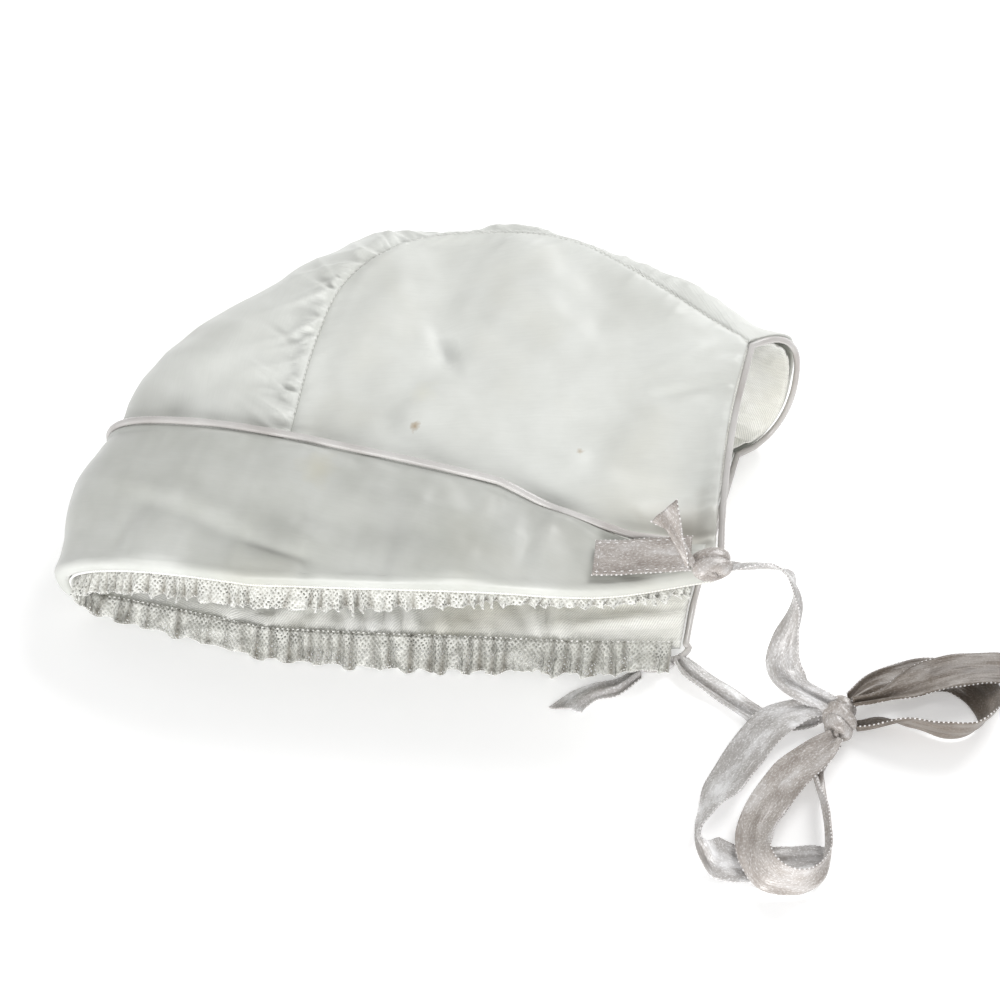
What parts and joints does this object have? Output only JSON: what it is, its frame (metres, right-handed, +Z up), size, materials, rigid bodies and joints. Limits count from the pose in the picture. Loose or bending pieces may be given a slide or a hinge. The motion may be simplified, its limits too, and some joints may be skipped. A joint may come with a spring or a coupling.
{
  "type": "baby bonnet",
  "caption": "Three-panel silk satin baby bonnet with turned-back cuff, corded edges, gathered lace ruffle and ribbon ties in a bow, lying on its side.",
  "frame": {"origin": "centre of the bonnet's own box, without its free ribbons, on the surface that it lies on", "axes": "+Z up from the surface, -Y out of the face opening, -X towards the top of the head, +X towards the chin and nape, +Y towards the back of the head"},
  "size_m": [0.26, 0.18, 0.0575],
  "materials": {
    "satin": "satin",
    "lining_satin": "satin",
    "piping_satin": "satin",
    "lace": "matte",
    "ribbon": "satin"
  },
  "bodies": {
    "root": {"side_panel_upper": "satin", "side_panel_lower": "satin", "centre_panel": "satin", "cuff": "satin", "lining": "lining_satin", "cuff_piping": "piping_satin", "nape_piping": "piping_satin", "lace_ruffle": "lace", "tie_band": "ribbon", "corner_knot": "ribbon", "corner_tail": "ribbon", "tie_upper": "ribbon", "tie_lower": "ribbon", "lower_knot": "ribbon", "lower_tail": "ribbon", "bow_knot": "ribbon", "bow_loop_near": "ribbon", "bow_tail_near": "ribbon", "bow_loop_side": "ribbon", "bow_tail_side": "ribbon"}
  },
  "joints": []
}
